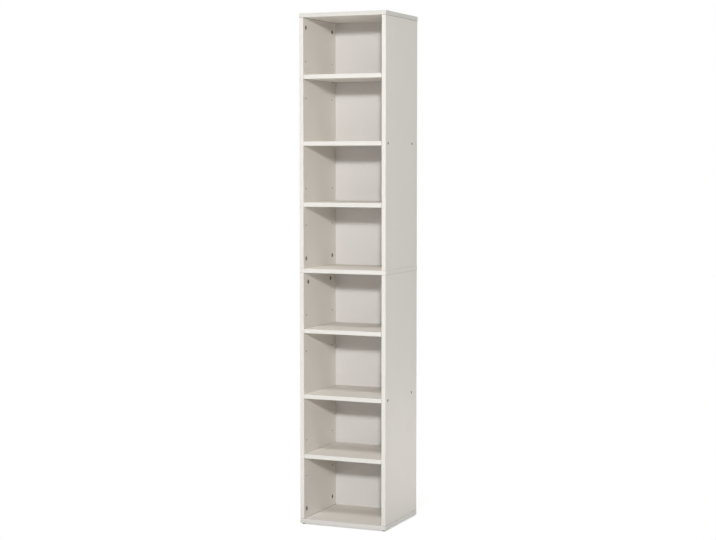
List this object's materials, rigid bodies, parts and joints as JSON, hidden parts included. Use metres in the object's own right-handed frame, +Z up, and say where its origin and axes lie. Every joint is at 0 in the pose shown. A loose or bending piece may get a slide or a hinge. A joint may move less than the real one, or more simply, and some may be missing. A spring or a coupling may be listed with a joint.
{
  "type": "narrow bookcase",
  "caption": "Tall narrow open bookcase: stacked units on a shared middle board, with fixed shelves and loose shelves on pins that can be drawn out forward.",
  "frame": {"origin": "on the floor, under the middle of the bookcase", "axes": "+Z up, +X to the right seen from the front, +Y to the back; the open front faces -Y"},
  "size_m": [0.328, 0.298, 1.8],
  "materials": {
    "board_coating": "warm white matt coating on chipboard, edges banded",
    "back_board": "warm white coated face, raw brown fibreboard behind",
    "cam_zinc": "dull dark zinc casting",
    "fitting_steel": "dark zinc plate",
    "pin_steel": "satin nickel plate",
    "dowel_wood": "bare beech",
    "glide_plastic": "grey moulded plastic"
  },
  "bodies": {
    "carcass": {"top_panel": "board_coating", "middle_panel": "board_coating", "bottom_panel": "board_coating", "lower_left_side": "board_coating", "lower_right_side": "board_coating", "lower_back_panel": "back_board", "lower_fixed_shelf": "board_coating", "lower_shelf_screws": "fitting_steel", "lower_low_shelf_pins": "pin_steel", "lower_high_shelf_pins": "pin_steel", "upper_left_side": "board_coating", "upper_right_side": "board_coating", "upper_back_panel": "back_board", "upper_fixed_shelf": "board_coating", "upper_shelf_screws": "fitting_steel", "upper_low_shelf_pins": "pin_steel", "upper_high_shelf_pins": "pin_steel", "top_cam_bolts": "fitting_steel", "top_cam_locks": "cam_zinc", "top_dowels": "dowel_wood", "upper_base_cam_bolts": "fitting_steel", "upper_base_cam_locks": "cam_zinc", "upper_base_dowels": "dowel_wood", "lower_head_cam_bolts": "fitting_steel", "lower_head_cam_locks": "cam_zinc", "lower_head_dowels": "dowel_wood", "bottom_cam_bolts": "fitting_steel", "bottom_cam_locks": "cam_zinc", "bottom_dowels": "dowel_wood", "front_left_glide": "glide_plastic", "front_right_glide": "glide_plastic", "rear_left_glide": "glide_plastic", "rear_right_glide": "glide_plastic", "glide_nails": "fitting_steel"},
    "upper_high_shelf": {"upper_high_shelf": "board_coating"},
    "upper_low_shelf": {"upper_low_shelf": "board_coating"},
    "lower_high_shelf": {"lower_high_shelf": "board_coating"},
    "lower_low_shelf": {"lower_low_shelf": "board_coating"}
  },
  "joints": [
    {"name": "upper_high_shelf_pull_out", "type": "slide", "parent": "carcass", "child": "upper_high_shelf", "axis": [0, -1, 0], "range_m": [0, 0.29]},
    {"name": "upper_low_shelf_pull_out", "type": "slide", "parent": "carcass", "child": "upper_low_shelf", "axis": [0, -1, 0], "range_m": [0, 0.29]},
    {"name": "lower_high_shelf_pull_out", "type": "slide", "parent": "carcass", "child": "lower_high_shelf", "axis": [0, -1, 0], "range_m": [0, 0.29]},
    {"name": "lower_low_shelf_pull_out", "type": "slide", "parent": "carcass", "child": "lower_low_shelf", "axis": [0, -1, 0], "range_m": [0, 0.29]}
  ]
}
